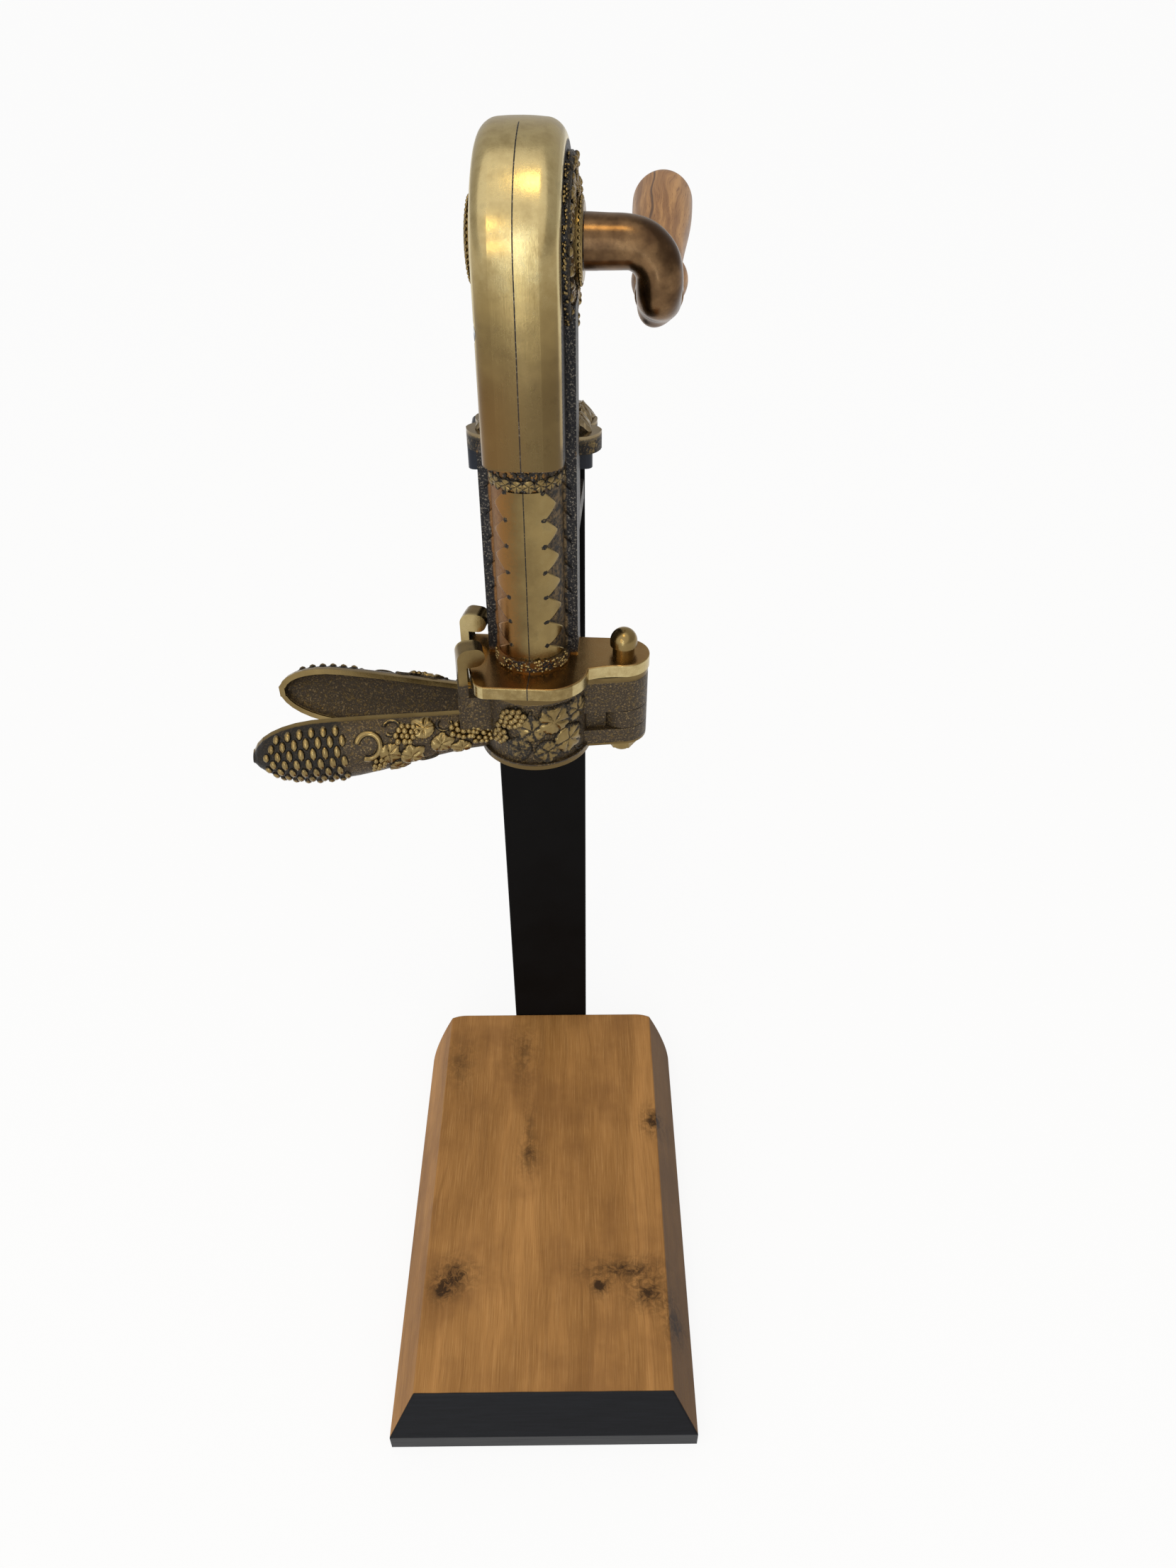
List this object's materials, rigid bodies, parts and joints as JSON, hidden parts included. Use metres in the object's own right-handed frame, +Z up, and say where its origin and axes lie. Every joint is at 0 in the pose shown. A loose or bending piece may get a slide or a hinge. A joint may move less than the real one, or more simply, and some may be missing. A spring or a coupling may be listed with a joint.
{
  "type": "wine opener",
  "caption": "Lever wine opener on a bevelled wooden stand: a geared lever drives a corkscrew down a cast column into a bottle held by a hinged collar.",
  "frame": {"origin": "centre of the board's underside", "axes": "+X to the operator's right, where the lever is; +Y to the back, where the post is; +Z up"},
  "size_m": [0.2091, 0.3315, 0.568],
  "materials": {
    "stained_wood": "satin stain",
    "black_steel": "satin black paint",
    "antique_brass": "polished, dark in the recesses",
    "dark_bronze": "glossy brown",
    "steel": "turned",
    "oak": "oiled",
    "soft_pad": "matte"
  },
  "bodies": {
    "stand": {"base_board": "stained_wood", "post": "black_steel", "top_plate": "black_steel", "foot_screws": "steel", "body_left": "antique_brass", "body_right": "antique_brass", "body_screws": "steel", "hub_flange": "antique_brass", "hub_cap": "antique_brass", "guide_bush": "antique_brass", "idler_pin": "steel", "pinion_pin": "steel", "hinge_pin": "antique_brass", "hinge_nut": "steel", "clamp_bracket": "antique_brass", "bracket_bolts": "steel"},
    "lever": {"lever_arm": "dark_bronze", "lever_shaft": "steel", "shaft_pin": "steel", "drive_gear": "steel", "grip_ferrule": "antique_brass", "grip": "oak", "grip_stud": "steel"},
    "idler": {"idler_gear": "steel"},
    "pinion": {"pinion": "steel"},
    "carriage": {"rack": "steel", "worm_keeper": "steel"},
    "corkscrew": {"worm": "steel"},
    "front_jaw": {"front_jaw": "antique_brass", "front_pad": "soft_pad"},
    "rear_jaw": {"rear_jaw": "antique_brass", "rear_pad": "soft_pad"},
    "clamp_pad": {"clamp_pad": "steel"},
    "clamp_screw": {"clamp_screw": "steel"}
  },
  "joints": [
    {"name": "lever_swing", "type": "hinge", "parent": "stand", "child": "lever", "pos_m": [0.00157, 0.09745, 0.5265], "axis": [0.9976, -0.0698, 0], "range_deg": [0, 255.1]},
    {"name": "idler_spin", "type": "hinge", "parent": "stand", "child": "idler", "pos_m": [0.00176, 0.1002, 0.50105], "axis": [0.9976, -0.0698, 0], "range_deg": [-256.1, 1]},
    {"name": "pinion_spin", "type": "hinge", "parent": "stand", "child": "pinion", "pos_m": [0.00126, 0.09296, 0.4765], "axis": [0.9976, -0.0698, 0], "range_deg": [-1, 256.1]},
    {"name": "rack_travel", "type": "slide", "parent": "stand", "child": "carriage", "axis": [0, 0, -1], "range_m": [-0.0002, 0.05719]},
    {"name": "worm_spin", "type": "hinge", "parent": "carriage", "child": "corkscrew", "pos_m": [0, 0.075, 0.4676], "axis": [0, 0, -1], "range_deg": [-2, 2163.6]},
    {"name": "front_jaw_swing", "type": "hinge", "parent": "stand", "child": "front_jaw", "pos_m": [0.0409, 0.07214, 0.339], "axis": [0, 0, 1], "range_deg": [-9.5, 8]},
    {"name": "rear_jaw_swing", "type": "hinge", "parent": "stand", "child": "rear_jaw", "pos_m": [0.0409, 0.07214, 0.339], "axis": [0, 0, 1], "range_deg": [-12, 3.5]},
    {"name": "clamp_screw_turn", "type": "hinge", "parent": "clamp_pad", "child": "clamp_screw", "pos_m": [0.00265, 0.11291, 0.409], "axis": [0, 0, -1], "range_deg": [-2, 2308]},
    {"name": "clamp_pad_travel", "type": "slide", "parent": "stand", "child": "clamp_pad", "axis": [0, 0, -1], "range_m": [0, 0.008]}
  ],
  "couplings": [
    {"joint": "idler_spin", "follows": "lever_swing", "ratio": -1},
    {"joint": "pinion_spin", "follows": "lever_swing", "ratio": 1},
    {"joint": "rack_travel", "follows": "lever_swing", "m_per_rad": 0.0128},
    {"joint": "worm_spin", "follows": "lever_swing", "ratio": 8.4658},
    {"joint": "clamp_screw_turn", "follows": "clamp_pad_travel", "rad_per_m": 5026.5}
  ]
}
